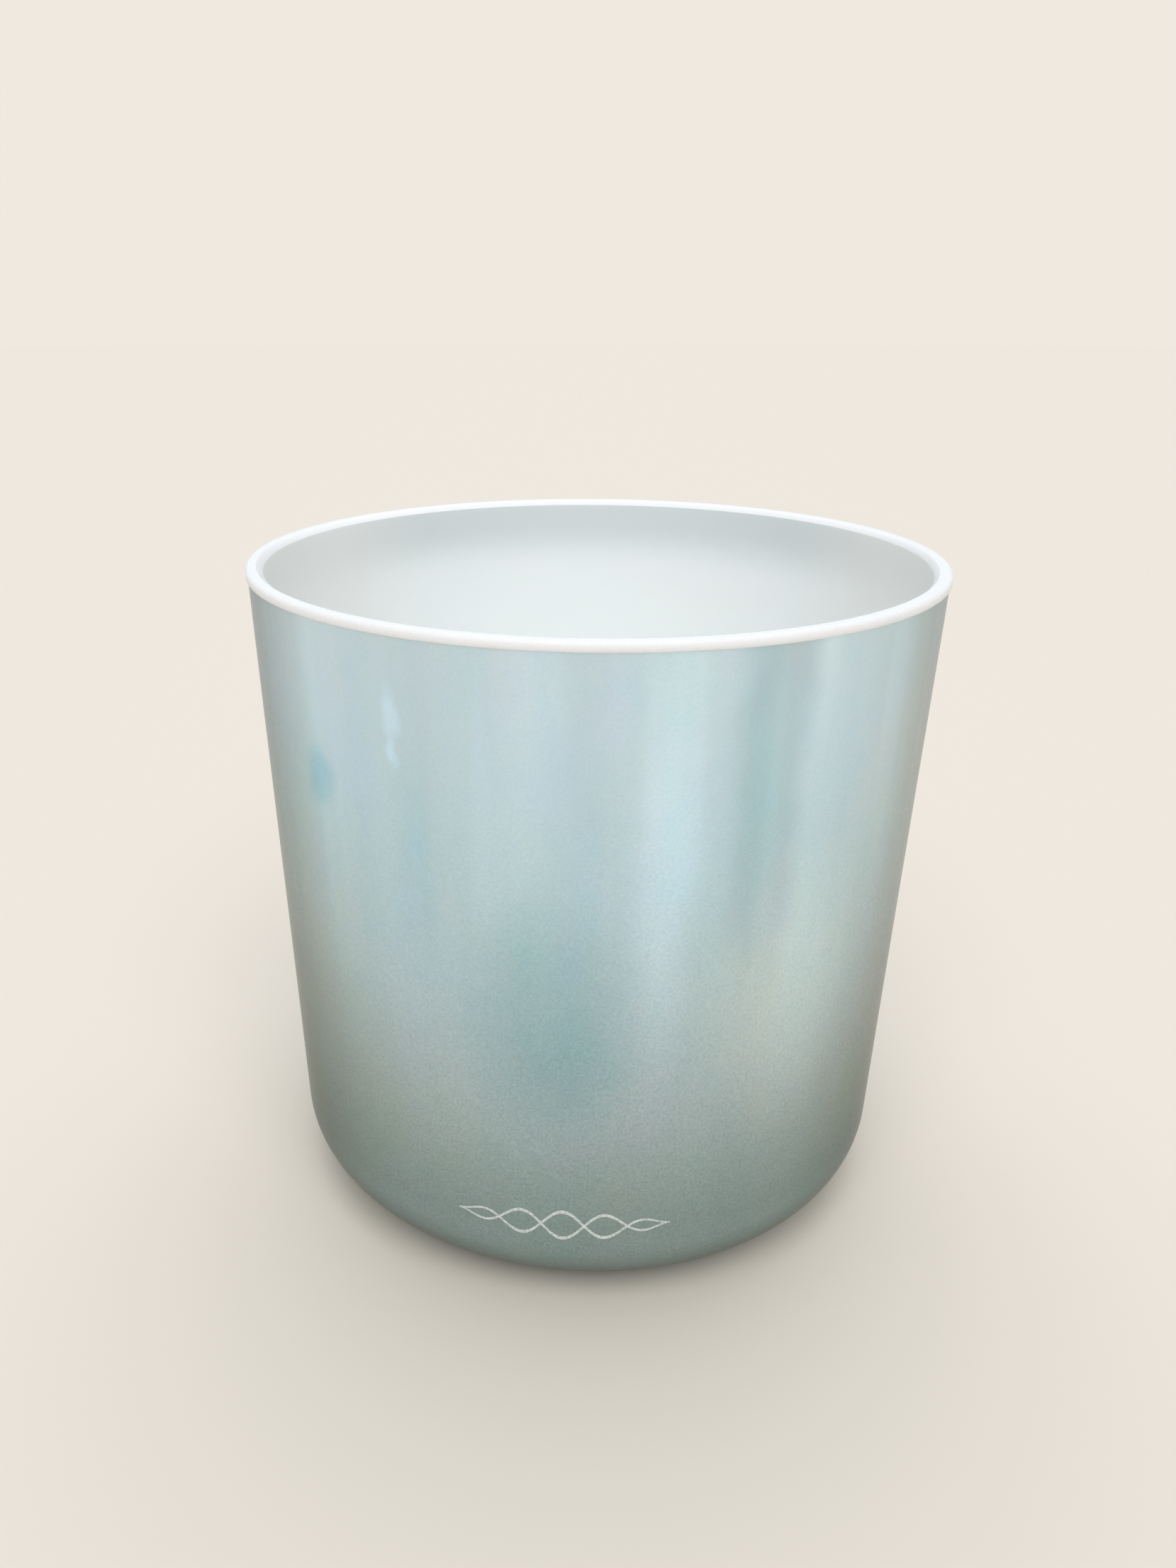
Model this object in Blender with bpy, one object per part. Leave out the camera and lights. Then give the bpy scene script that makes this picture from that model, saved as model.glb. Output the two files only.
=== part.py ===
"""A frosted crystal singing bowl: a fused-quartz shell, its pearl coating and a printed mark.

Metres, +Z up. The origin is the centre of the ground foot, so the bowl stands on z = 0.
The printed mark faces -Y. Every outline lies in the (r, z) half-plane and is turned about +Z.
"""

import math

import bmesh
import bpy

# Overall size, over the lip and from the foot to the lip's top
RIM_RADIUS = 0.1016
HEIGHT = 0.199

# Shape of the coated outside
TAPER = math.radians(2.4)  # the wall widens upwards by this angle
CORNER_RADIUS = 0.0224
DOME_RADIUS = 0.84  # the base is a very shallow dome
LIP_OVERHANG = 0.0005  # the bare lip stands this far outside the coating

# Quartz shell
WALL = 0.0037
FOOT_RADIUS = 0.030  # ground flat that the bowl rests on
LIP_BAND = 0.0027  # height of the bare band at the rim
LIP_ROUND = 0.0010  # outer edge of the ground lip
LIP_EASE = 0.0004  # small round under the lip's overhang
INNER_BEVEL = 0.0016  # chamfer on the inner edge of the ground lip

# Coating: a thin skin with a clearance to the quartz all round
COAT_THICKNESS = 0.0004
COAT_LIFT = 0.0003  # the coating's lower edge stays this far above the resting plane
FIT_GAP = 0.0003

# Printed mark: a standing wave with tapered ends, wrapped on the wall
MARK_LENGTH = 0.060
MARK_SWING = 0.0046  # largest distance of a line's centre from the mark's axis
MARK_LOBES = 5
MARK_LINE = 0.0009  # width of a line at the middle of the mark
MARK_TIP = 0.0003  # width of the mark at its two ends
MARK_THICKNESS = 0.0003
MARK_ABOVE_CORNER = 0.0068  # from the end of the corner's curve up the wall to the mark's axis

# Fineness of the mesh, as straight steps along each curve
SEGMENTS = 72  # round the bowl
DOME_STEPS = 4
CORNER_STEPS = 9
EASE_STEPS = 2
ROUND_STEPS = 5
MARK_STEPS_PER_LOBE = 12
WELD = 1e-6
SHARP_ANGLE = math.radians(35)  # edges that turn more than this are drawn crisp

SKIN = COAT_THICKNESS + FIT_GAP
STRAIGHT_DOWN = 0.0
STRAIGHT_OUT = math.radians(90)
STRAIGHT_UP = math.radians(180)
FULL_CIRCLE = math.radians(360)


# ---------------------------------------------------------------- outline

def wall_radius(z, inset):
    """Radius of the tapered wall at height z, on the surface `inset` inside the coated outside."""
    top = RIM_RADIUS - LIP_OVERHANG
    return top - (HEIGHT - z) * math.tan(TAPER) - inset / math.cos(TAPER)


def dome_centre():
    """The dome crosses the foot's edge at the coating's lift above the resting plane."""
    return (0.0, COAT_LIFT + math.sqrt(DOME_RADIUS ** 2 - FOOT_RADIUS ** 2))


def corner_centre():
    """Centre of the corner arc, which touches both the wall's line and the dome's circle.

    Its centre lies on the wall's line moved in by the corner's radius, r = start + z * slope,
    and DOME_RADIUS - CORNER_RADIUS away from the dome's centre. The lower crossing is the corner.
    """
    slope = math.tan(TAPER)
    start = wall_radius(0.0, CORNER_RADIUS)
    dome_z = dome_centre()[1]
    reach = DOME_RADIUS - CORNER_RADIUS
    a = 1.0 + slope ** 2
    b = 2.0 * (start * slope - dome_z)
    c = start ** 2 + dome_z ** 2 - reach ** 2
    z = (-b - math.sqrt(b ** 2 - 4.0 * a * c)) / (2.0 * a)
    return (start + z * slope, z)


def arc(centre, radius, start, end, steps):
    """Points on an arc. Angles are measured from straight down, turning outwards."""
    points = []
    for i in range(steps + 1):
        angle = start + (end - start) * i / steps
        points.append((centre[0] + radius * math.sin(angle), centre[1] - radius * math.cos(angle)))
    return points


def side_outline(inset, start_radius, top_z):
    """Base, corner and wall on the surface `inset` inside the coated outside, from the base up.

    Parallel surfaces share the arcs' centres, so every layer keeps its thickness all the way.
    """
    corner = corner_centre()
    dome_end = math.asin(corner[0] / (DOME_RADIUS - CORNER_RADIUS))
    dome_start = math.asin(start_radius / (DOME_RADIUS - inset))
    points = arc(dome_centre(), DOME_RADIUS - inset, dome_start, dome_end, DOME_STEPS)
    wall_start = STRAIGHT_OUT - TAPER
    points += arc(corner, CORNER_RADIUS - inset, dome_end, wall_start, CORNER_STEPS)[1:]
    points.append((wall_radius(top_z, inset), top_z))
    return points


def lip_outline():
    """The bare ground lip, from the shoulder above the coating over to the inner chamfer's edge."""
    shoulder = HEIGHT - LIP_BAND
    ease = (RIM_RADIUS - LIP_EASE, shoulder + LIP_EASE)
    outer_round = (RIM_RADIUS - LIP_ROUND, HEIGHT - LIP_ROUND)
    points = arc(ease, LIP_EASE, STRAIGHT_DOWN, STRAIGHT_OUT, EASE_STEPS)
    points += arc(outer_round, LIP_ROUND, STRAIGHT_OUT, STRAIGHT_UP, ROUND_STEPS)
    points.append((wall_radius(HEIGHT, SKIN + WALL) + INNER_BEVEL, HEIGHT))
    return points


# ---------------------------------------------------------------- solids

def add_part(name, mesh, material):
    """One named part at the origin, smooth where its surface is curved."""
    mesh.materials.append(material)
    mesh.shade_smooth()
    mesh.set_sharp_from_angle(angle=SHARP_ANGLE)
    part = bpy.data.objects.new(name, mesh)
    bpy.context.scene.collection.objects.link(part)
    return part


def turned(name, outline, closed):
    """The outline turned a full circle about +Z. An open outline has both its ends on the axis."""
    bm = bmesh.new()
    verts = [bm.verts.new((r, 0.0, z)) for r, z in outline]
    edges = [bm.edges.new(pair) for pair in zip(verts, verts[1:])]
    if closed:
        edges.append(bm.edges.new((verts[-1], verts[0])))
    bmesh.ops.spin(
        bm,
        geom=verts + edges,
        cent=(0.0, 0.0, 0.0),
        axis=(0.0, 0.0, 1.0),
        dvec=(0.0, 0.0, 0.0),
        angle=FULL_CIRCLE,
        steps=SEGMENTS,
        use_merge=True,
    )
    bmesh.ops.remove_doubles(bm, verts=bm.verts[:], dist=WELD)
    bmesh.ops.recalc_face_normals(bm, faces=bm.faces[:])
    mesh = bpy.data.meshes.new(name)
    bm.to_mesh(mesh)
    bm.free()
    return mesh


def quartz_shell():
    """Foot, outer side under the coating, lip, inner side and floor, in that order."""
    foot = [(0.0, 0.0), (FOOT_RADIUS, 0.0)]
    outer = side_outline(SKIN, FOOT_RADIUS, HEIGHT - LIP_BAND)
    inner = side_outline(SKIN + WALL, 0.0, HEIGHT - INNER_BEVEL)
    return turned("bowl_body", foot + outer + lip_outline() + inner[::-1], closed=False)


def coating_skin():
    """The skin starts beside the foot and stops just under the lip's shoulder."""
    top = HEIGHT - LIP_BAND - FIT_GAP
    start = FOOT_RADIUS + FIT_GAP
    outer = side_outline(0.0, start, top)
    inner = side_outline(COAT_THICKNESS, start, top)
    return turned("pearl_coating", outer + inner[::-1], closed=True)


# ---------------------------------------------------------------- printed mark

def wave_line(share):
    """Centre and half width of the upper line, `share` running from -1 to 1 along the mark."""
    fade = 1.0 - share ** 2
    phase = 0.5 * math.pi * MARK_LOBES * (share + 1.0)
    centre = MARK_SWING * fade * abs(math.sin(phase))
    half = 0.5 * (MARK_TIP + (MARK_LINE - MARK_TIP) * fade)
    return centre, half


def mark_shares():
    """Stations along the mark, close together where the lines cross so that they truly join."""
    shares = []
    for lobe in range(MARK_LOBES):
        for i in range(MARK_STEPS_PER_LOBE):
            eased = 0.5 - 0.5 * math.cos(math.pi * i / MARK_STEPS_PER_LOBE)
            shares.append(2.0 * (lobe + eased) / MARK_LOBES - 1.0)
    return shares + [1.0]


def on_wall(along, up, lift):
    """A point of the flat mark, wrapped on the wall `lift` outside the coating, facing -Y."""
    corner = corner_centre()
    height = MARK_ABOVE_CORNER + up
    out = CORNER_RADIUS + lift
    radius = corner[0] + out * math.cos(TAPER) + height * math.sin(TAPER)
    z = corner[1] - out * math.sin(TAPER) + height * math.cos(TAPER)
    angle = along / wall_radius(z, 0.0)
    return (radius * math.sin(angle), -radius * math.cos(angle), z)


def standing_wave():
    """Two mirrored lines that join where the wave stands still, as one closed thin solid.

    Each line is a row of box sections. Where both reach the mark's axis their inner sides
    are left out, so that the two halves share one inside.
    """
    bm = bmesh.new()
    low, high = FIT_GAP, FIT_GAP + MARK_THICKNESS
    for side in (1.0, -1.0):
        sections = []
        for share in mark_shares():
            centre, half = wave_line(share)
            near = max(centre - half, 0.0)
            far = centre + half
            corners = ((near, low), (far, low), (far, high), (near, high))
            along = 0.5 * MARK_LENGTH * share
            verts = [bm.verts.new(on_wall(along, side * up, lift)) for up, lift in corners]
            sections.append((verts, near == 0.0))
        for (left, left_joined), (right, right_joined) in zip(sections, sections[1:]):
            sides = 3 if left_joined and right_joined else 4
            for j in range(sides):
                k = (j + 1) % 4
                bm.faces.new((left[j], right[j], right[k], left[k]))
        bm.faces.new(sections[0][0])
        bm.faces.new(sections[-1][0])
    bmesh.ops.remove_doubles(bm, verts=bm.verts[:], dist=WELD)
    bmesh.ops.recalc_face_normals(bm, faces=bm.faces[:])
    mesh = bpy.data.meshes.new("printed_mark")
    bm.to_mesh(mesh)
    bm.free()
    return mesh


# ---------------------------------------------------------------- materials

def finish(name, colour, roughness, metallic=0.0, coat=0.0):
    """A Principled BSDF with linear base colour."""
    material = bpy.data.materials.new(name)
    material.use_nodes = True
    shader = material.node_tree.nodes["Principled BSDF"]
    shader.inputs["Base Color"].default_value = (*colour, 1.0)
    shader.inputs["Roughness"].default_value = roughness
    shader.inputs["Metallic"].default_value = metallic
    shader.inputs["Coat Weight"].default_value = coat
    return material


def main():
    for obj in list(bpy.data.objects):
        bpy.data.objects.remove(obj, do_unlink=True)
    quartz = finish("frosted fused quartz", (0.84, 0.87, 0.87), 0.55)
    pearl = finish("aqua pearl coating", (0.42, 0.56, 0.55), 0.32, coat=0.4)
    ink = finish("white printing ink", (0.85, 0.86, 0.84), 0.5)
    add_part("bowl_body", quartz_shell(), quartz)
    add_part("pearl_coating", coating_skin(), pearl)
    add_part("printed_mark", standing_wave(), ink)


main()
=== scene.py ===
# %% [markdown]
# # A frosted quartz singing bowl
#
# The bowl is one shell of fused quartz, spun against a mould and left frosted. The outside
# carries a thin aqua pearl coating, the lip is ground back to bare white quartz, and a small
# white mark is printed low on the front. This lesson turns the three pieces on a lathe made
# of code, gives each the finish of the real one, and puts the bowl on a pale studio floor.
#
# The first cell loads the plain engineering model. Everything below takes its sizes from it.

# %% Load the frame and measure it
import math

import bmesh
import bpy
from mathutils import Matrix, Vector, noise


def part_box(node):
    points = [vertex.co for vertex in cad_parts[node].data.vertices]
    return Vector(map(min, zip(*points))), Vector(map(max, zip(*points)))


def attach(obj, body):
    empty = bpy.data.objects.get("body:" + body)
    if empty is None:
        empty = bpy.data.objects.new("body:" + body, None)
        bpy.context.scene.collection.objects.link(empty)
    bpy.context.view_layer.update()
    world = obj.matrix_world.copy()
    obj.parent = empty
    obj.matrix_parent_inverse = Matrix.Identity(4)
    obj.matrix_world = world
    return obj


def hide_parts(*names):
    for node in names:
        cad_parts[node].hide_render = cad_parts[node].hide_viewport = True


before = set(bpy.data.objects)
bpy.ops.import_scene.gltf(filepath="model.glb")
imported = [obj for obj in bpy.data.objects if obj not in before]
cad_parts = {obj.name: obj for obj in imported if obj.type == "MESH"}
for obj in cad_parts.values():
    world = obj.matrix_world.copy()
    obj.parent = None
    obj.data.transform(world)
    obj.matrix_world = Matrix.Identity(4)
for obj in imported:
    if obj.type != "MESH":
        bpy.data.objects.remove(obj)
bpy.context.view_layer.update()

MM = 0.001

bowl_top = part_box("bowl_body")[1]
RIM_RADIUS = bowl_top.x
HEIGHT = bowl_top.z
print(f"bowl {2000 * RIM_RADIUS:.1f} mm across and {1000 * HEIGHT:.1f} mm high")

# %% [markdown]
# ## The outline
#
# A turned shape needs only half of its section, a line in the plane of radius and height.
# The bowl's line is made of two arcs and a straight: a base so shallow that its arc has a
# radius of 840 mm, a round corner, and a wall that leans out by a couple of degrees.
# Layers of one wall are parallel lines. When the arcs keep their centres and only their
# radii shrink, each layer keeps the same thickness all the way round the corner.

# %% Sizes of the section
TAPER = math.radians(2.4)
CORNER_RADIUS = 22.4 * MM
DOME_RADIUS = 840 * MM
FOOT_RADIUS = 30 * MM
LIP_OVERHANG = 0.5 * MM
LIP_BAND = 2.7 * MM
LIP_ROUND = 1.0 * MM
LIP_EASE = 0.4 * MM
INNER_BEVEL = 1.6 * MM
WALL = 4.4 * MM
COATING = 0.45 * MM
FOOT_LIFT = 0.3 * MM

DOWN, OUT, UP = 0.0, math.radians(90), math.radians(180)
FULL_CIRCLE = math.radians(360)


def wall_radius(z, inset):
    """Radius of the leaning wall at height z, on the layer `inset` inside the coated outside."""
    outside = RIM_RADIUS - LIP_OVERHANG - (HEIGHT - z) * math.tan(TAPER)
    return outside - inset / math.cos(TAPER)


DOME_CENTRE = Vector((0.0, FOOT_LIFT + math.sqrt(DOME_RADIUS**2 - FOOT_RADIUS**2)))
print(f"dome centre on the axis, {1000 * DOME_CENTRE.y:.1f} mm up")

# %% [markdown]
# The corner's arc has to touch the wall's line and the dome's circle. Its centre then lies on
# the wall's line moved in by the corner's radius, and at the difference of the two radii from
# the dome's centre, so a line crosses a circle: one quadratic equation.


# %% Centre of the corner's arc
def corner_centre():
    slope = math.tan(TAPER)
    start = wall_radius(0.0, CORNER_RADIUS)
    reach = DOME_RADIUS - CORNER_RADIUS
    a = 1.0 + slope**2
    b = 2.0 * (start * slope - DOME_CENTRE.y)
    c = start**2 + DOME_CENTRE.y**2 - reach**2
    z = (-b - math.sqrt(b**2 - 4.0 * a * c)) / (2.0 * a)
    return Vector((start + z * slope, z))


CORNER = corner_centre()
DOME_END = math.asin(CORNER.x / (DOME_RADIUS - CORNER_RADIUS))
print(f"corner centre at r {1000 * CORNER.x:.1f}, z {1000 * CORNER.y:.1f} mm")


# %% Arcs and layers
DOME_STEPS, CORNER_STEPS = 14, 22


def arc(centre, radius, start, end, steps):
    """Points on an arc. Angles are measured from straight down, turning outwards."""
    turns = [start + (end - start) * i / steps for i in range(steps + 1)]
    return [centre + radius * Vector((math.sin(t), -math.cos(t))) for t in turns]


def straight(start, end, spacing):
    """Points after `start` on the way to `end`, about `spacing` apart."""
    steps = max(1, round((end - start).length / spacing))
    return [start.lerp(end, i / steps) for i in range(1, steps + 1)]


def layer(inset, start_radius, top_z, spacing):
    """Base, corner and wall of one layer, from the base up."""
    dome_start = math.asin(start_radius / (DOME_RADIUS - inset))
    points = arc(DOME_CENTRE, DOME_RADIUS - inset, dome_start, DOME_END, DOME_STEPS)
    points += arc(CORNER, CORNER_RADIUS - inset, DOME_END, OUT - TAPER, CORNER_STEPS)[1:]
    top = Vector((wall_radius(top_z, inset), top_z))
    return points + straight(points[-1], top, spacing)


# %% [markdown]
# ## The hand in the work
#
# A quartz shell is spun from grains melted against the mould by an arc. It comes out very
# round, but not perfectly: the wall wanders by about a tenth of a millimetre, in waves that
# run up its height, and this is what makes reflections in the coating stand in soft uprights.
# The wander depends only on the angle and the height, so layers that use it stay in touch.

# %% The wander of a spun wall
WANDER = 0.11 * MM
WANDER_TURNS = 3.4
WANDER_RISE = 9.0
FADE_FROM_FOOT = 30 * MM
FADE_TO_LIP = 12 * MM


def wander(point):
    """Moves a point in or out by the spun wall's unevenness, fading to nothing at the foot."""
    radius = math.hypot(point.x, point.y)
    if radius < FOOT_RADIUS:
        return point
    side = Vector((point.x, point.y, 0.0)) / radius
    sample = side * WANDER_TURNS + Vector((0.0, 0.0, point.z * WANDER_RISE))
    fade = min(1.0, (radius - FOOT_RADIUS) / FADE_FROM_FOOT, (HEIGHT - point.z) / FADE_TO_LIP)
    return point + side * WANDER * fade * noise.noise(sample)


# %% The lathe
ROUND_STEPS = 320
WELD = 1e-6


def turn(outline, closed):
    """Spins an outline about +Z into a bmesh and lets the wall wander."""
    bm = bmesh.new()
    verts = [bm.verts.new((p.x, 0.0, p.y)) for p in outline]
    edges = [bm.edges.new(pair) for pair in zip(verts, verts[1:])]
    if closed:
        edges.append(bm.edges.new((verts[-1], verts[0])))
    bmesh.ops.spin(
        bm, geom=verts + edges, cent=(0, 0, 0), axis=(0, 0, 1), dvec=(0, 0, 0),
        angle=FULL_CIRCLE, steps=ROUND_STEPS, use_merge=True,
    )
    bmesh.ops.remove_doubles(bm, verts=bm.verts[:], dist=WELD)
    bmesh.ops.recalc_face_normals(bm, faces=bm.faces[:])
    for vert in bm.verts:
        vert.co = wander(vert.co)
    return bm


SHARP = math.radians(35)


def piece(name, bm, materials, replaces, sharp=SHARP):
    """Makes the finished object, which rides on the bowl's one body."""
    mesh = bpy.data.meshes.new(name)
    bm.to_mesh(mesh)
    bm.free()
    for material in materials:
        mesh.materials.append(material)
    mesh.shade_smooth()
    mesh.set_sharp_from_angle(angle=sharp)
    made = bpy.data.objects.new(name, mesh)
    bpy.context.scene.collection.objects.link(made)
    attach(made, "root")
    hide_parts(replaces)
    print(f"{name}: {len(mesh.polygons)} faces")


# %% [markdown]
# ## Colours and nodes
#
# Colours are picked as sRGB hex values, as in a paint chart, and the shader works in linear
# light, so one function turns one into the other. A second function adds a shader node with
# its settings and its links in one line, which keeps each material readable as a recipe.


# %% Two small helpers
def linear(code):
    """An sRGB hex colour such as "C9DADC" as linear red, green, blue and alpha."""
    shares = [int(code[i:i + 2], 16) / 255 for i in (0, 2, 4)]
    return [s / 12.92 if s <= 0.04045 else ((s + 0.055) / 1.055) ** 2.4 for s in shares] + [1.0]


def add(tree, kind, inputs, **settings):
    """Adds a shader node. An input is a plain value or another node's output socket."""
    node = tree.nodes.new("ShaderNode" + kind)
    for name, value in settings.items():
        setattr(node, name, value)
    for key, value in inputs.items():
        if isinstance(value, bpy.types.NodeSocket):
            tree.links.new(value, node.inputs[key])
        else:
            node.inputs[key].default_value = value
    return node


def new_material(name):
    """An empty material and its shader, Principled BSDF."""
    material = bpy.data.materials.new(name)
    material.use_nodes = True
    tree = material.node_tree
    return material, tree, tree.nodes["Principled BSDF"]


# Sockets of a Mix node that mixes colours, which has others for numbers and vectors between.
MIX_FACTOR, MIX_A, MIX_B, MIX_OUT = 0, 6, 7, 2
EVEN_REACH = (1.0, 1.0, 1.0)

# %% [markdown]
# ## Frosted fused quartz
#
# Fused quartz made from sand is full of tiny bubbles, so it is milky white and lets a little
# light wander through it: a subsurface share with a reach of about 4 mm does that. Frosting
# breaks the gloss, so the roughness is high. The frost's grain, a quarter of a millimetre on
# the real bowl, is drawn at 0.6 mm, because a finer one would not show. Inside, a band under
# the lip is painted greyer: painted shade, darker near the rim. At the two sides the colour is
# painted lighter and a touch warmer, which also weakens that band there: painted light.


# %% Quartz
QUARTZ_IOR = 1.46
MELT_CLOUD = 45 * MM
# Painted shade: a greyer band under the lip. Painted light: lighter, warmer colour at the sides.
PAINTED_SHADE_BAND = (HEIGHT - 26 * MM, HEIGHT - 8 * MM)
PAINTED_LIGHT_SIDES = (62 * MM, 96 * MM)
FROST = 0.6 * MM
FROST_DEPTH = 0.05 * MM


def frosted_quartz():
    material, tree, shader = new_material("frosted fused quartz, arc spun")
    place = add(tree, "TexCoord", {}).outputs["Object"]
    axes = add(tree, "SeparateXYZ", {0: place})
    cloud = add(tree, "TexNoise", {"Vector": place, "Scale": 1 / MELT_CLOUD, "Detail": 3.0})
    milky = add(tree, "Mix", {
        MIX_FACTOR: cloud.outputs["Fac"], MIX_A: linear("F9FFFF"), MIX_B: linear("FDFFFE"),
    }, data_type="RGBA")
    # Painted shade: the band under the lip is mixed towards a greyer colour.
    band = add(tree, "MapRange", {
        "Value": axes.outputs["Z"], "From Min": PAINTED_SHADE_BAND[0], "From Max": PAINTED_SHADE_BAND[1],
    }, interpolation_type="SMOOTHSTEP")
    with_painted_shade = add(tree, "Mix", {
        MIX_FACTOR: band.outputs["Result"], MIX_A: milky.outputs[MIX_OUT], MIX_B: linear("E0E5E5"),
    }, data_type="RGBA")
    # Painted light: towards both sides the colour is mixed lighter and warmer.
    beside = add(tree, "Math", {0: axes.outputs["X"]}, operation="ABSOLUTE")
    side = add(tree, "MapRange", {
        "Value": beside.outputs[0], "From Min": PAINTED_LIGHT_SIDES[0], "From Max": PAINTED_LIGHT_SIDES[1], "To Max": 0.75,
    }, interpolation_type="SMOOTHSTEP")
    with_painted_side_light = add(tree, "Mix", {
        MIX_FACTOR: side.outputs["Result"], MIX_A: with_painted_shade.outputs[MIX_OUT], MIX_B: linear("FFFCF6"),
    }, data_type="RGBA")
    frost = add(tree, "TexNoise", {"Vector": place, "Scale": 1 / FROST, "Detail": 2.0})
    ripple = add(tree, "Bump", {
        "Height": frost.outputs["Fac"], "Strength": 0.5, "Distance": FROST_DEPTH,
    })
    tree.links.new(with_painted_side_light.outputs[MIX_OUT], shader.inputs["Base Color"])
    tree.links.new(ripple.outputs["Normal"], shader.inputs["Normal"])
    shader.inputs["Roughness"].default_value = 0.52
    shader.inputs["IOR"].default_value = QUARTZ_IOR
    shader.inputs["Subsurface Weight"].default_value = 0.3
    shader.inputs["Subsurface Radius"].default_value = EVEN_REACH
    shader.inputs["Subsurface Scale"].default_value = 4 * MM
    return material


QUARTZ = frosted_quartz()
print(len(QUARTZ.node_tree.nodes), "nodes in the quartz")

# %% [markdown]
# ## Ground quartz
#
# The lip is ground flat on a wheel and chamfered inside. Grinding crushes the very surface, so
# it scatters all light and looks whiter than the wall, with a faint grain from the grit. Light
# wanders further in the thin edge, so it has the largest subsurface share. The flat top is
# painted a touch greyer than the rounded side: painted shade on the face that looks up. The marks
# of the grit are finer than a tenth of a millimetre, and are drawn at 0.7 and 0.4 mm so they show.


# %% Ground lip and chamfer
# Painted shade: the flat top of the lip is a touch greyer than its rounded side.
PAINTED_SHADE_TOP = (HEIGHT - 0.6 * MM, HEIGHT - 0.1 * MM)
GRIT_DEPTH = 0.04 * MM


def ground_quartz(name, top, side, roughness, grit, glow):
    material, tree, shader = new_material(name)
    place = add(tree, "TexCoord", {}).outputs["Object"]
    grains = add(tree, "TexNoise", {"Vector": place, "Scale": 1 / grit, "Detail": 3.0})
    speckle = add(tree, "MapRange", {
        "Value": grains.outputs["Fac"], "From Min": 0.42, "From Max": 0.62,
        "To Min": 0.965, "To Max": 1.0,
    })
    height = add(tree, "SeparateXYZ", {0: place}).outputs["Z"]
    # Painted shade: from the side's colour up to the top's greyer one.
    level = add(tree, "MapRange", {
        "Value": height, "From Min": PAINTED_SHADE_TOP[0], "From Max": PAINTED_SHADE_TOP[1],
    })
    colour = add(tree, "Mix", {
        MIX_FACTOR: level.outputs["Result"], MIX_A: linear(side), MIX_B: linear(top),
    }, data_type="RGBA")
    tone = add(tree, "Mix", {
        MIX_FACTOR: 1.0, MIX_A: colour.outputs[MIX_OUT], MIX_B: speckle.outputs["Result"],
    }, data_type="RGBA", blend_type="MULTIPLY")
    rough = add(tree, "Bump", {
        "Height": grains.outputs["Fac"], "Strength": 0.12, "Distance": GRIT_DEPTH,
    })
    tree.links.new(tone.outputs[MIX_OUT], shader.inputs["Base Color"])
    tree.links.new(rough.outputs["Normal"], shader.inputs["Normal"])
    shader.inputs["Roughness"].default_value = roughness
    shader.inputs["IOR"].default_value = QUARTZ_IOR
    shader.inputs["Subsurface Weight"].default_value = glow
    shader.inputs["Subsurface Radius"].default_value = EVEN_REACH
    shader.inputs["Subsurface Scale"].default_value = 6 * MM
    return material


GROUND = ground_quartz("ground quartz lip", "F0F4F6", "FFFFFF", 0.55, 0.7 * MM, 0.7)
CHAMFER = ground_quartz("fine ground quartz chamfer", "FFFFFF", "FFFFFF", 0.35, 0.4 * MM, 1.0)
print(f"{GROUND.name}, {CHAMFER.name}")

# %% [markdown]
# ## The quartz shell
#
# The shell is turned in one piece: foot, outer side under the coating, lip, inner side and
# floor. The lip is finished afterwards as on the real bowl. Its faces get the ground material,
# and the chamfer, which was ground by hand, is made a little wider on one side.

# %% Turn the shell
UNDER_COATING = 0.05 * MM
SHELL_INSET = COATING + UNDER_COATING
FINE, COARSE, LIP_SPACING = 3 * MM, 12 * MM, 0.6 * MM
EASE_STEPS, ROUND_OVER_STEPS = 4, 8
CREST = wall_radius(HEIGHT, WALL) + INNER_BEVEL


def lip_line():
    """The ground lip, from the shoulder above the coating over to the inner chamfer's edge."""
    shoulder = HEIGHT - LIP_BAND
    ease = Vector((RIM_RADIUS - LIP_EASE, shoulder + LIP_EASE))
    outer = Vector((RIM_RADIUS - LIP_ROUND, HEIGHT - LIP_ROUND))
    points = arc(ease, LIP_EASE, DOWN, OUT, EASE_STEPS)
    points += arc(outer, LIP_ROUND, OUT, UP, ROUND_OVER_STEPS)
    return points + straight(points[-1], Vector((CREST, HEIGHT)), LIP_SPACING)


def shell_line():
    foot = [Vector((0.0, 0.0)), Vector((FOOT_RADIUS, 0.0))]
    outer = layer(SHELL_INSET, FOOT_RADIUS, HEIGHT - LIP_BAND, COARSE)
    inner = layer(WALL, 0.0, HEIGHT - INNER_BEVEL, FINE)
    return foot + outer + lip_line() + inner[::-1]


shell = turn(shell_line(), closed=False)
print(len(shell.verts), "points on the shell")

# %% Hand-ground chamfer and soft edges
CHAMFER_DRIFT = 0.3 * MM
CREST_EASE = 0.15 * MM
SLIVER, CLOSE_BY = 0.01 * MM, 0.2 * MM
FLAT, HALF_UP = 0.95, 0.5
GROUND_SLOT, CHAMFER_SLOT = 1, 2


def on_crest(vert):
    """True on the ring where the flat lip meets the inner chamfer."""
    return vert.co.z > HEIGHT - SLIVER and abs(vert.co.xy.length - CREST) < CLOSE_BY


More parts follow.
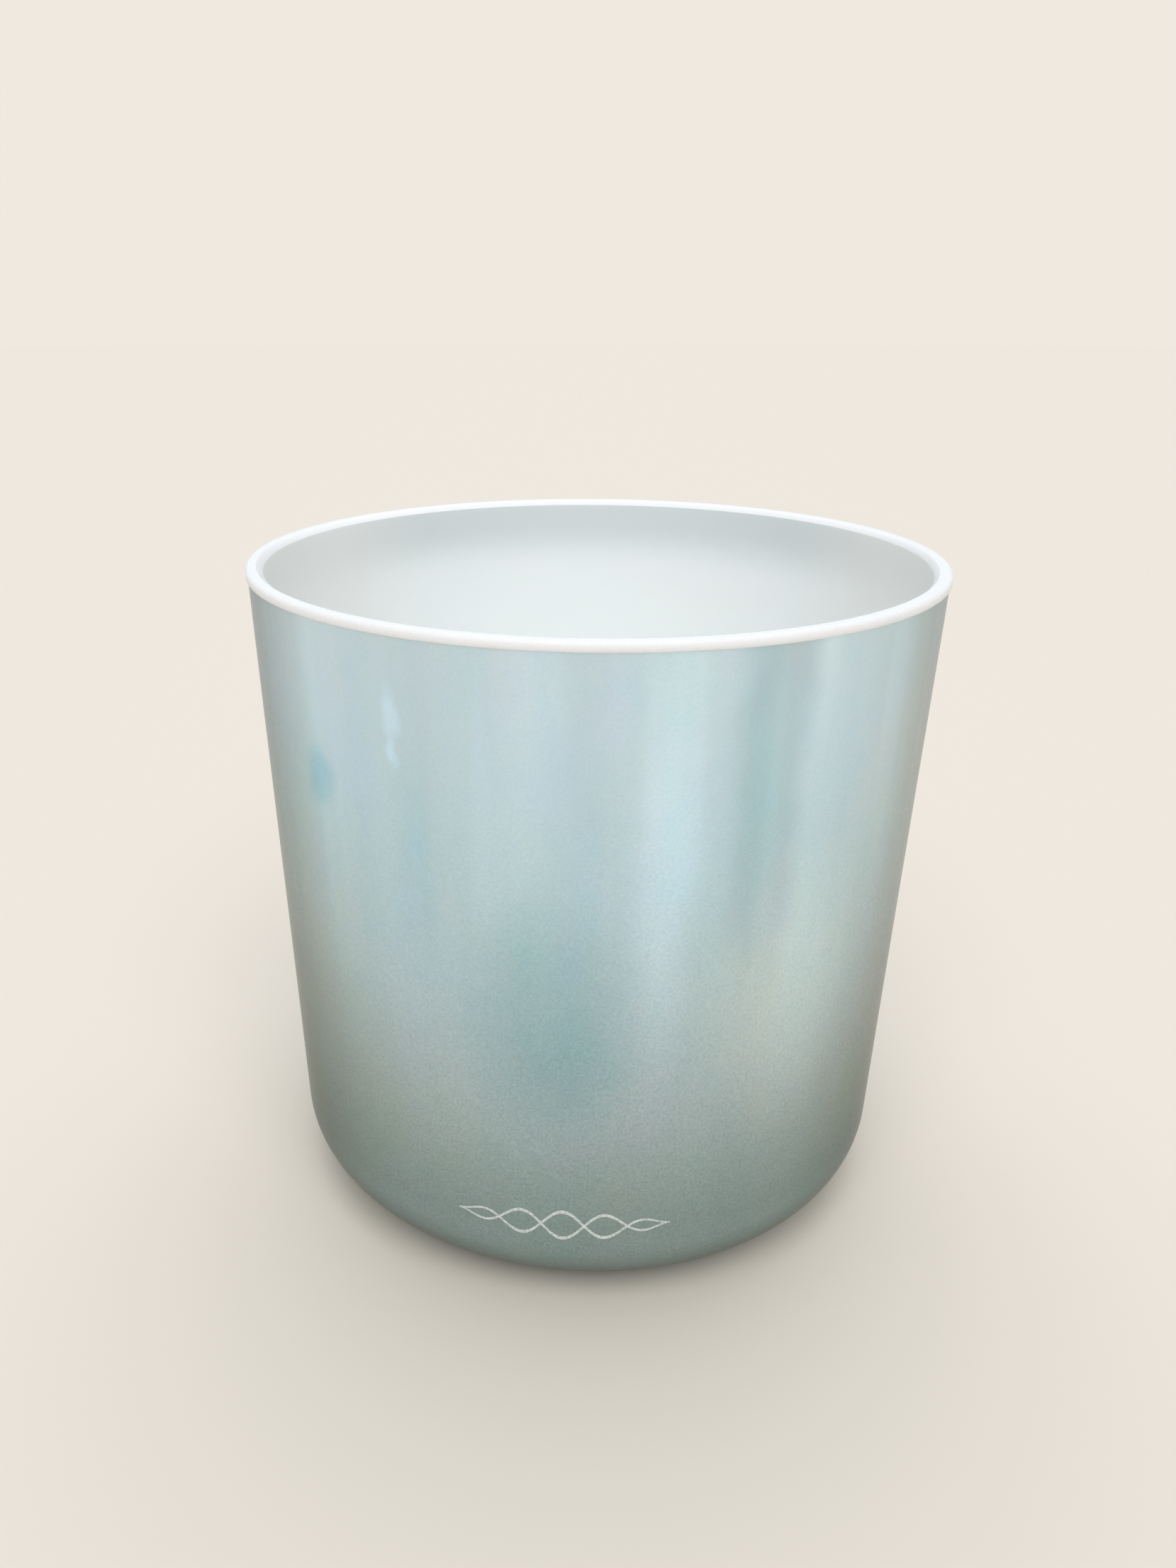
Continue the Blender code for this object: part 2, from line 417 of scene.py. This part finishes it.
crest = {vert for vert in shell.verts if on_crest(vert)}
for vert in crest:
    vert.co.xy -= vert.co.xy.normalized() * CHAMFER_DRIFT * vert.co.x / RIM_RADIUS
crest_edges = [edge for edge in shell.edges if crest.issuperset(edge.verts)]
bmesh.ops.bevel(
    shell, geom=crest_edges, affect="EDGES", offset=CREST_EASE, segments=3, profile=0.5,
    material=-1,
)
for face in shell.faces:
    middle = face.calc_center_median()
    inside = middle.xy.length < CREST + CHAMFER_DRIFT
    foot = middle.z < SLIVER
    if middle.z > HEIGHT - INNER_BEVEL and inside and face.normal.z < FLAT:
        face.material_index = CHAMFER_SLOT
    elif foot or middle.z > HEIGHT - LIP_BAND and (not inside or face.normal.z > HALF_UP):
        face.material_index = GROUND_SLOT
piece("quartz_shell", shell, [QUARTZ, GROUND, CHAMFER], "bowl_body")

# %% [markdown]
# ## Aqua pearl coating
#
# The colour is a pearl lacquer, sprayed and fired on the frosted quartz. Mica flakes give it a
# share of metal, and a clear top coat a satin gloss. Its colour has three scales. From the lip
# down it goes from a pale blue to aqua to a grey green, partly its own and partly painted shade.
# Round the wall it lies in soft uprights: painted reflections. And it is cloudy within a few
# millimetres, with the frost showing through as a fine grain.

# %% Colour from the base to the lip
# Darker and greener towards the base: partly the coating's own colour, partly painted shade.
PEARL_AND_PAINTED_SHADE_HEIGHTS = (
    (8, "96A8A8"), (30, "91A3A2"), (46, "9DAFAE"), (60, "A9BABC"), (75, "B2C4C9"), (100, "BBD1D8"),
    (140, "C4DEE8"), (175, "CFE5F0"), (196, "D3E7F0"),
)
PEARL, pearl, pearl_shader = new_material("aqua pearl lacquer over frosted quartz")
place = add(pearl, "TexCoord", {}).outputs["Object"]
height = add(pearl, "SeparateXYZ", {0: place}).outputs["Z"]


def ramp_stops(ramp, stops):
    """Fills a colour ramp, which always keeps its own first and last stop."""
    (first, first_colour), *middle, (last, last_colour) = stops
    ramp.elements[0].position, ramp.elements[0].color = first, first_colour
    ramp.elements[-1].position, ramp.elements[-1].color = last, last_colour
    for position, colour in middle:
        ramp.elements.new(position).color = colour


rise = add(pearl, "MapRange", {"Value": height, "From Max": HEIGHT}).outputs["Result"]
fade = add(pearl, "ValToRGB", {"Fac": rise})
ramp_stops(fade.color_ramp, [(mm * MM / HEIGHT, linear(code)) for mm, code in PEARL_AND_PAINTED_SHADE_HEIGHTS])
print(len(fade.color_ramp.elements), "colours from the base to the lip")

# %% [markdown]
# The uprights are painted reflections: bands of lighter and deeper colour at set angles round
# the wall, strongest near the lip. A radial gradient gives the angle, a little noise bends it so
# that no band has a ruled edge, and a colour ramp holds the bands. Angles are in degrees from the
# front, and a tone of 0.5 leaves the colour as it is.

# %% Soft uprights, painted reflections
# Painted reflections: tones above 0.5 are lighter uprights, tones below 0.5 deeper ones.
PAINTED_REFLECTION_UPRIGHTS = (
    (-88, 0.52), (-74, 0.40), (-62, 0.46), (-52, 0.50), (-38, 0.58), (-30, 0.50), (-22, 0.42),
    (-12, 0.50), (-6, 0.58), (2, 0.44), (9, 0.52), (15, 0.70), (21, 0.54), (27, 0.18),
    (31, 0.24), (37, 0.60), (44, 0.54), (56, 0.54), (74, 0.60), (96, 0.40), (118, 0.60),
    (142, 0.42), (170, 0.60), (200, 0.44), (235, 0.58), (268, 0.52),
)
BEND = 0.016
BEND_WIDTH = 25 * MM
FRONT = 0.25  # where the radial gradient has the bowl's front, as a share of the turn
bend = add(pearl, "TexNoise", {"Vector": place, "Scale": 1 / BEND_WIDTH, "Detail": 2.0})
turn_share = add(pearl, "TexGradient", {"Vector": place}, gradient_type="RADIAL").outputs["Fac"]
bent = add(
    pearl, "Math", {0: bend.outputs["Fac"], 1: BEND, 2: turn_share}, operation="MULTIPLY_ADD",
)
painted_reflection_bands = add(pearl, "ValToRGB", {"Fac": bent.outputs[0]})
painted_reflection_bands.color_ramp.interpolation = "EASE"
ramp_stops(painted_reflection_bands.color_ramp, [
    (FRONT + degrees / 360 + BEND / 2, (tone, tone, tone, 1.0)) for degrees, tone in PAINTED_REFLECTION_UPRIGHTS
])
painted_reflection_tone = add(pearl, "MapRange", {
    "Value": painted_reflection_bands.outputs["Color"], "To Min": 0.70, "To Max": 1.30,
}).outputs["Result"]
below_lip = add(pearl, "MapRange", {
    "Value": height, "From Min": 75 * MM, "From Max": 165 * MM, "To Min": 0.15, "To Max": 1.0,
}, interpolation_type="SMOOTHSTEP").outputs["Result"]
toned = add(pearl, "Mix", {
    MIX_FACTOR: below_lip, MIX_A: fade.outputs["Color"], MIX_B: painted_reflection_tone,
}, data_type="RGBA", blend_type="MULTIPLY").outputs[MIX_OUT]
print(len(PAINTED_REFLECTION_UPRIGHTS), "uprights round the wall")

# %% [markdown]
# Clouds of blue, green, lilac and warm pearl lie over that. Each is a noise whose features are
# a few millimetres to a few centimetres wide, stretched along the height by a Mapping node.
# The narrow runs just under the lip are two more, stretched until they hardly change along the
# height. Every cloud multiplies the colour below it, so a tint of middle grey, BCBCBC, would
# leave it as it is. Each row has a tint, a width in metres, the share of the height that counts,
# a strength, and a shift that gives the cloud a pattern of its own.

# %% Clouds and runs
LEAVES_AS_IS = linear("BCBCBC")[0]
CLOUDS = (
    ("B8BDC1", 0.024, 0.30, 0.5, 1.0), ("B8BDB9", 0.019, 0.30, 0.55, 2.0),
    ("BDBBC2", 0.014, 0.40, 0.50, 3.0), ("C0BCB6", 0.030, 0.60, 0.50, 4.0),
    ("B4BBBD", 0.007, 0.90, 0.40, 5.0), ("BFBEBA", 0.006, 0.90, 0.40, 6.0),
)
RUNS = (("B2B8B9", 0.013, 0.06, 0.6, 7.0), ("C4C5C7", 0.011, 0.06, 0.6, 8.0))


def tint(code):
    """A colour to multiply with, where middle grey changes nothing."""
    return [part / LEAVES_AS_IS for part in linear(code)[:3]] + [1.0]


def cloud_share(width, stretch, strength, seed):
    """How much of a cloud lies at each point, from 0 to `strength`."""
    moved = add(pearl, "Mapping", {
        "Vector": place, "Location": (seed, seed, seed), "Scale": (1.0, 1.0, stretch),
    }).outputs["Vector"]
    cloud = add(pearl, "TexNoise", {"Vector": moved, "Scale": 1 / width, "Detail": 1.0})
    return add(pearl, "MapRange", {
        "Value": cloud.outputs["Fac"], "From Min": 0.48, "From Max": 0.78, "To Max": strength,
    }, interpolation_type="SMOOTHSTEP").outputs["Result"]


colour = toned
for code, *shape in CLOUDS:
    colour = add(pearl, "Mix", {
        MIX_FACTOR: cloud_share(*shape), MIX_A: colour, MIX_B: tint(code),
    }, data_type="RGBA", blend_type="MULTIPLY").outputs[MIX_OUT]
for code, *shape in RUNS:
    near_lip = add(pearl, "Math", {0: cloud_share(*shape), 1: below_lip}, operation="MULTIPLY")
    colour = add(pearl, "Mix", {
        MIX_FACTOR: near_lip.outputs[0], MIX_A: colour, MIX_B: tint(code),
    }, data_type="RGBA", blend_type="MULTIPLY").outputs[MIX_OUT]
print(len(CLOUDS), "clouds and", len(RUNS), "sets of runs")

# %% [markdown]
# Some patches have a place of their own. A pool of deeper aqua in the middle of the front and a
# paler, warmer one right of it are painted reflections, and so are a silver upright right of the
# front and darker uprights either side of it. A blue spot on the left is the coating's own tint,
# and beside that a short run of clear lacquer stands up; its lighter colour is a painted highlight.
# The warm colour towards both sides, almost olive low on the left, is painted reflection.
# A spherical gradient, centred and stretched by a Mapping node, makes each one, and a little
# noise roughens its outline. Each row has a name, an angle in degrees from the front, a place
# above the table, a half width and a half height in millimetres, a tint and a strength.

# %% Patches
# Painted reflections: the deeper pool at the front and its foot, the paler patch right of it, the
# silver and darker uprights, and the warm and olive sides. Painted highlight: the lighter colour of
# the clear run and the second run.
PATCHES = (
    ("painted reflection pool", -3, 98, 31, 46, "A2AFB0", 0.85), ("pool's foot", 2, 82, 20, 24, "AEB8B7", 0.6),
    ("pale painted reflection", 37, 98, 30, 54, "CFCAC5", 0.85), ("pale left", -22, 62, 34, 30, "BFBFBC", 0.5),
    ("blue spot", -42, 154, 9, 12, "9AB1B8", 0.8), ("painted dark reflection", -23, 140, 9, 42, "B3B9B9", 0.5),
    ("silver painted reflection", 14, 138, 12, 72, "CAC5C8", 0.8),
    ("green shade", 28, 165, 12, 50, "B9C2C0", 0.8),
    ("warm painted reflection, right", 62, 130, 40, 84, "D0C5BB", 0.65), ("olive painted reflection", -52, 62, 60, 56, "B0AFA8", 0.75),
    ("warm painted reflection, left", -58, 116, 56, 66, "BFB8B0", 0.6), ("warm painted reflection, low right", 62, 60, 44, 46, "C0BBB1", 0.6),
    ("clear run with painted highlight", -26, 176, 4, 11, "C6CDD4", 0.7), ("second run with painted highlight", -26, 166, 3, 5, "C8CED6", 0.7),
)
ROUGHNESS_OF_OUTLINE = 7 * MM
WIDTH_OF_ROUGHNESS = 9 * MM
jitter = add(pearl, "TexNoise", {"Vector": place, "Scale": 1 / WIDTH_OF_ROUGHNESS, "Detail": 3.0})
rough_place = add(pearl, "VectorMath", {
    0: jitter.outputs["Color"], 1: [ROUGHNESS_OF_OUTLINE] * 3, 2: place,
}, operation="MULTIPLY_ADD").outputs["Vector"]
patch_shares = {}
for name, turned_by, up, half_width, half_height, code, strength in PATCHES:
    angle, up = math.radians(turned_by), up * MM
    centre = Vector((math.sin(angle), -math.cos(angle), 0.0)) * wall_radius(up, 0.0)
    centre += Vector((0.0, 0.0, up)) + Vector([0.5 * ROUGHNESS_OF_OUTLINE] * 3)
    shrink = Vector((1 / half_width, 1 / half_width, 1 / half_height)) / MM
    local = add(pearl, "Mapping", {
        "Vector": rough_place, "Location": -centre * shrink, "Scale": shrink,
    }).outputs["Vector"]
    ball = add(pearl, "TexGradient", {"Vector": local}, gradient_type="SPHERICAL").outputs["Fac"]
    patch_shares[name] = add(pearl, "MapRange", {
        "Value": ball, "From Max": 0.8, "To Max": strength,
    }, interpolation_type="SMOOTHSTEP").outputs["Result"]
    colour = add(pearl, "Mix", {
        MIX_FACTOR: patch_shares[name], MIX_A: colour, MIX_B: tint(code),
    }, data_type="RGBA", blend_type="MULTIPLY").outputs[MIX_OUT]
print(", ".join(patch_shares))

# %% [markdown]
# The frost's real grain is about a quarter of a millimetre. Under the lacquer it is drawn at
# 0.7 mm, and it shows more where the lacquer is deep. The same noise drives the colour, the
# gloss and the bump, as on the real surface, where each crystal catches pearl on one side. A
# second, wider bump is the orange peel of a sprayed coat, and a third raises the clear run. On
# a surface that is part metal, the specular tint is the colour of light that grazes it: a dark
# bronze turns the pearl warm and deeper towards the bowl's edges.

# %% Grain and gloss
GRAIN, GRAIN_DEPTH = 0.7 * MM, 0.03 * MM
PEEL, PEEL_DEPTH = 3.5 * MM, 0.04 * MM
RUN_DEPTH = 0.35 * MM
grain = add(pearl, "TexNoise", {"Vector": place, "Scale": 1 / GRAIN, "Detail": 2.0}).outputs["Fac"]
grain_depth = add(pearl, "MapRange", {
    "Value": height, "From Min": 50 * MM, "From Max": 170 * MM, "To Min": 0.6, "To Max": 0.15,
}).outputs["Result"]
grain_tone = add(pearl, "MapRange", {
    "Value": grain, "From Min": 0.3, "From Max": 0.7, "To Min": 0.78, "To Max": 1.2,
}).outputs["Result"]
grained = add(pearl, "Mix", {
    MIX_FACTOR: grain_depth, MIX_A: colour, MIX_B: grain_tone,
}, data_type="RGBA", blend_type="MULTIPLY").outputs[MIX_OUT]
sand = add(pearl, "Bump", {
    "Height": grain, "Strength": 0.3, "Distance": GRAIN_DEPTH,
}).outputs["Normal"]
peel = add(pearl, "TexNoise", {"Vector": place, "Scale": 1 / PEEL, "Detail": 1.0}).outputs["Fac"]
peeled = add(pearl, "Bump", {
    "Height": peel, "Strength": 0.3, "Distance": PEEL_DEPTH, "Normal": sand,
}).outputs["Normal"]
skin = add(pearl, "Bump", {
    "Height": patch_shares["clear run with painted highlight"], "Strength": 0.7, "Distance": RUN_DEPTH, "Normal": peeled,
}).outputs["Normal"]
gloss = add(pearl, "MapRange", {
    "Value": grain, "From Min": 0.3, "From Max": 0.7, "To Min": 0.28, "To Max": 0.42,
}).outputs["Result"]
pearl.links.new(grained, pearl_shader.inputs["Base Color"])
pearl.links.new(gloss, pearl_shader.inputs["Roughness"])
pearl.links.new(skin, pearl_shader.inputs["Normal"])
for name, value in {
    "Metallic": 0.7, "Specular Tint": linear("6E5E3E"),
    "Coat Weight": 0.3, "Coat Roughness": 0.14, "Coat IOR": 1.5,
}.items():
    pearl_shader.inputs[name].default_value = value
print(len(pearl.nodes), "nodes in the pearl")

# %% [markdown]
# ## The coating's skin
#
# The skin is a closed ring of its own, a little under half a millimetre thick, from the bare
# foot round the corner and up to the lip's shoulder.


# %% Turn the coating
UNDER_SHOULDER = 0.02 * MM
OFF_FOOT = 0.3 * MM
SKIN_SPACING = 2.5 * MM


def coating_line():
    top = HEIGHT - LIP_BAND - UNDER_SHOULDER
    start = FOOT_RADIUS + OFF_FOOT
    outer = layer(0.0, start, top, SKIN_SPACING)
    inner = layer(COATING, start, top, COARSE)
    return outer + inner[::-1]


skin_mesh = turn(coating_line(), closed=True)
piece("coating_skin", skin_mesh, [PEARL], "pearl_coating")

# %% [markdown]
# ## The printed mark
#
# The mark is a standing wave, the pattern that a struck bowl's rim makes: two mirrored lines
# that meet where the wave stands still. It starts as a flat grid, one strip wide. A formula
# moves the strip onto the line, its mirror image is added, and the result is wrapped round
# the wall as a film of ink. A film this thin can fool the operator that turns faces outwards,
# so the sign of its volume is looked at afterwards: inside out, it would be negative.

# %% Shape of the wave
MARK_LENGTH = 60 * MM
MARK_SWING = 4.6 * MM
MARK_LOBES = 5
MARK_LINE = 1.1 * MM
MARK_TIP = 0.4 * MM
INK = 0.05 * MM
SUNK = 0.02 * MM
MARK_HEIGHT = sum(corner.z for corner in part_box("printed_mark")) / 2
STEPS_PER_LOBE = 36
JUST_UNDER_ONE = 1.0 - 1e-7


def wave(share):
    """Middle and half width of the upper line, `share` running from -1 to 1 along the mark."""
    fade = 1.0 - share**2
    swing = MARK_SWING * fade * abs(math.sin(0.5 * math.pi * MARK_LOBES * (share + 1.0)))
    return swing, 0.5 * (MARK_TIP + (MARK_LINE - MARK_TIP) * fade)


def eased(share):
    """Draws a lobe's stations together at its ends, where the lines cross."""
    lobe, part = divmod(0.5 * (share + 1.0) * MARK_LOBES, 1.0)
    return 2.0 * (lobe + 0.5 - 0.5 * math.cos(math.pi * part)) / MARK_LOBES - 1.0


def on_wall(along, up, lift):
    """A point of the flat mark, wrapped on the coated wall and facing -Y."""
    z = MARK_HEIGHT + up * math.cos(TAPER) - lift * math.sin(TAPER)
    radius = wall_radius(z, 0.0) + lift / math.cos(TAPER)
    angle = along / wall_radius(MARK_HEIGHT, 0.0)
    return wander(Vector((radius * math.sin(angle), -radius * math.cos(angle), z)))


# %% Print it
def printed_wave():
    bm = bmesh.new()
    bmesh.ops.create_grid(bm, x_segments=MARK_LOBES * STEPS_PER_LOBE, y_segments=1, size=1.0)
    for vert in bm.verts:
        share = eased(min(max(vert.co.x, -1.0), JUST_UNDER_ONE))
        middle, half = wave(share)
        edge = middle + half if vert.co.y > 0 else max(middle - half, 0.0)
        vert.co = Vector((0.5 * MARK_LENGTH * share, edge, 0.0))
    strip = bm.verts[:] + bm.edges[:] + bm.faces[:]
    bmesh.ops.mirror(bm, geom=strip, axis="Y", merge_dist=WELD)
    bmesh.ops.remove_doubles(bm, verts=bm.verts[:], dist=WELD)
    top = bmesh.ops.extrude_face_region(bm, geom=bm.faces[:])["geom"]
    for vert in (part for part in top if isinstance(part, bmesh.types.BMVert)):
        vert.co.z = INK
    for vert in bm.verts:
        vert.co = on_wall(vert.co.x, vert.co.y, vert.co.z - SUNK)
    bmesh.ops.recalc_face_normals(bm, faces=bm.faces[:])
    if bm.calc_volume(signed=True) < 0:
        bmesh.ops.reverse_faces(bm, faces=bm.faces[:])
    return bm


# %% White printing ink
INK_GRAIN = 0.6 * MM
INK_SHARP = math.radians(60)


def white_ink():
    material, tree, shader = new_material("white screen-printing ink, fired")
    place = add(tree, "TexCoord", {}).outputs["Object"]
    thin = add(tree, "TexNoise", {"Vector": place, "Scale": 1 / INK_GRAIN, "Detail": 2.0})
    cover = add(tree, "MapRange", {
        "Value": thin.outputs["Fac"], "From Min": 0.32, "From Max": 0.55,
    }).outputs["Result"]
    tone = add(tree, "Mix", {
        MIX_FACTOR: cover, MIX_A: linear("AFBAB8"), MIX_B: linear("DADEDC"),
    }, data_type="RGBA").outputs[MIX_OUT]
    tree.links.new(tone, shader.inputs["Base Color"])
    shader.inputs["Roughness"].default_value = 0.5
    return material


piece("wave_print", printed_wave(), [white_ink()], "printed_mark", sharp=INK_SHARP)

# %% [markdown]
# ## Studio
#
# A pale paper floor, which runs out of sight under a wall of the same tone. Only the camera
# sees that wall: the bowl is lit by a fainter and cooler surround, by a large soft light high
# in front, and by a second one behind, which fills the inside as a window would.

# %% Floor and surround
FLOOR_DROP = 0.2 * MM
FLOOR_RADIUS = 6.0


def pale_floor():
    bm = bmesh.new()
    bmesh.ops.create_circle(bm, cap_ends=True, radius=FLOOR_RADIUS, segments=96)
    bmesh.ops.translate(bm, verts=bm.verts[:], vec=(0.0, 0.0, -FLOOR_DROP))
    mesh = bpy.data.meshes.new("floor")
    bm.to_mesh(mesh)
    bm.free()
    material, _, shader = new_material("pale paper floor")
    shader.inputs["Base Color"].default_value = linear("E5DCCF")
    shader.inputs["Roughness"].default_value = 0.8
    mesh.materials.append(material)
    floor = bpy.data.objects.new("floor", mesh)
    bpy.context.scene.collection.objects.link(floor)
    return floor


pale_floor()

world = bpy.data.worlds.new("surround")
bpy.context.scene.world = world
world.use_nodes = True
sky = world.node_tree
around = sky.nodes["Background"]
around.inputs["Color"].default_value = linear("E6EAEE")
around.inputs["Strength"].default_value = 0.5
wall = add(sky, "Background", {"Color": linear("EFE9E0"), "Strength": 1.0})
seen = add(sky, "MixShader", {
    0: add(sky, "LightPath", {}).outputs["Is Camera Ray"],
    1: around.outputs["Background"], 2: wall.outputs["Background"],
})
sky.links.new(seen.outputs["Shader"], sky.nodes["World Output"].inputs["Surface"])
print(len(sky.nodes), "nodes in the surround")


# %% Lights
def soft_sun(name, turn, rise, spread, strength, colour):
    """A far, wide light. `turn` is in degrees from the front towards +X, `rise` above the floor."""
    data = bpy.data.lights.new(name, "SUN")
    data.angle = math.radians(spread)
    data.energy = strength
    data.color = linear(colour)[:3]
    light = bpy.data.objects.new(name, data)
    turn, rise = math.radians(turn), math.radians(rise)
    level = math.cos(rise)
    towards = Vector((math.sin(turn) * level, -math.cos(turn) * level, math.sin(rise)))
    light.rotation_euler = towards.to_track_quat("Z", "Y").to_euler()
    bpy.context.scene.collection.objects.link(light)


soft_sun("front softbox", 7, 52, 50, 1.6, "FFFFFF")
soft_sun("back window", 184, 60, 70, 1.2, "F6F9FF")
print(len(bpy.data.lights), "lights")

# %% [markdown]
# ## Camera
#
# The camera stands close, a little under four rim radii from the bowl's axis, and looks down
# by about 21 degrees through a wide lens, which is why the wall seems to narrow so much.

# %% Camera
CAMERA_AZIMUTH = math.radians(3.1)
CAMERA_DISTANCE = 3.756 * RIM_RADIUS
CAMERA_ABOVE_RIM = 0.7405 * RIM_RADIUS
TURN, TILT, ROLL = math.radians(3.45), math.radians(90 - 21.34), math.radians(-0.12)

camera_data = bpy.data.cameras.new("camera")
camera_data.sensor_width = 36.0  # millimetres
camera_data.lens = 29.62  # millimetres
camera_data.shift_x = 0.0452
camera = bpy.data.objects.new("camera", camera_data)
camera.location = (
    CAMERA_DISTANCE * math.sin(CAMERA_AZIMUTH),
    -CAMERA_DISTANCE * math.cos(CAMERA_AZIMUTH),
    HEIGHT + CAMERA_ABOVE_RIM,
)
facing = Matrix.Rotation(CAMERA_AZIMUTH + TURN, 3, "Z") @ Matrix.Rotation(TILT, 3, "X")
camera.rotation_euler = (facing @ Matrix.Rotation(ROLL, 3, "Z")).to_euler()
bpy.context.scene.collection.objects.link(camera)
bpy.context.scene.camera = camera
bpy.context.scene.view_settings.view_transform = "Standard"
print(f"camera {1000 * camera.location.length:.0f} mm away, lens {camera_data.lens:.1f} mm")
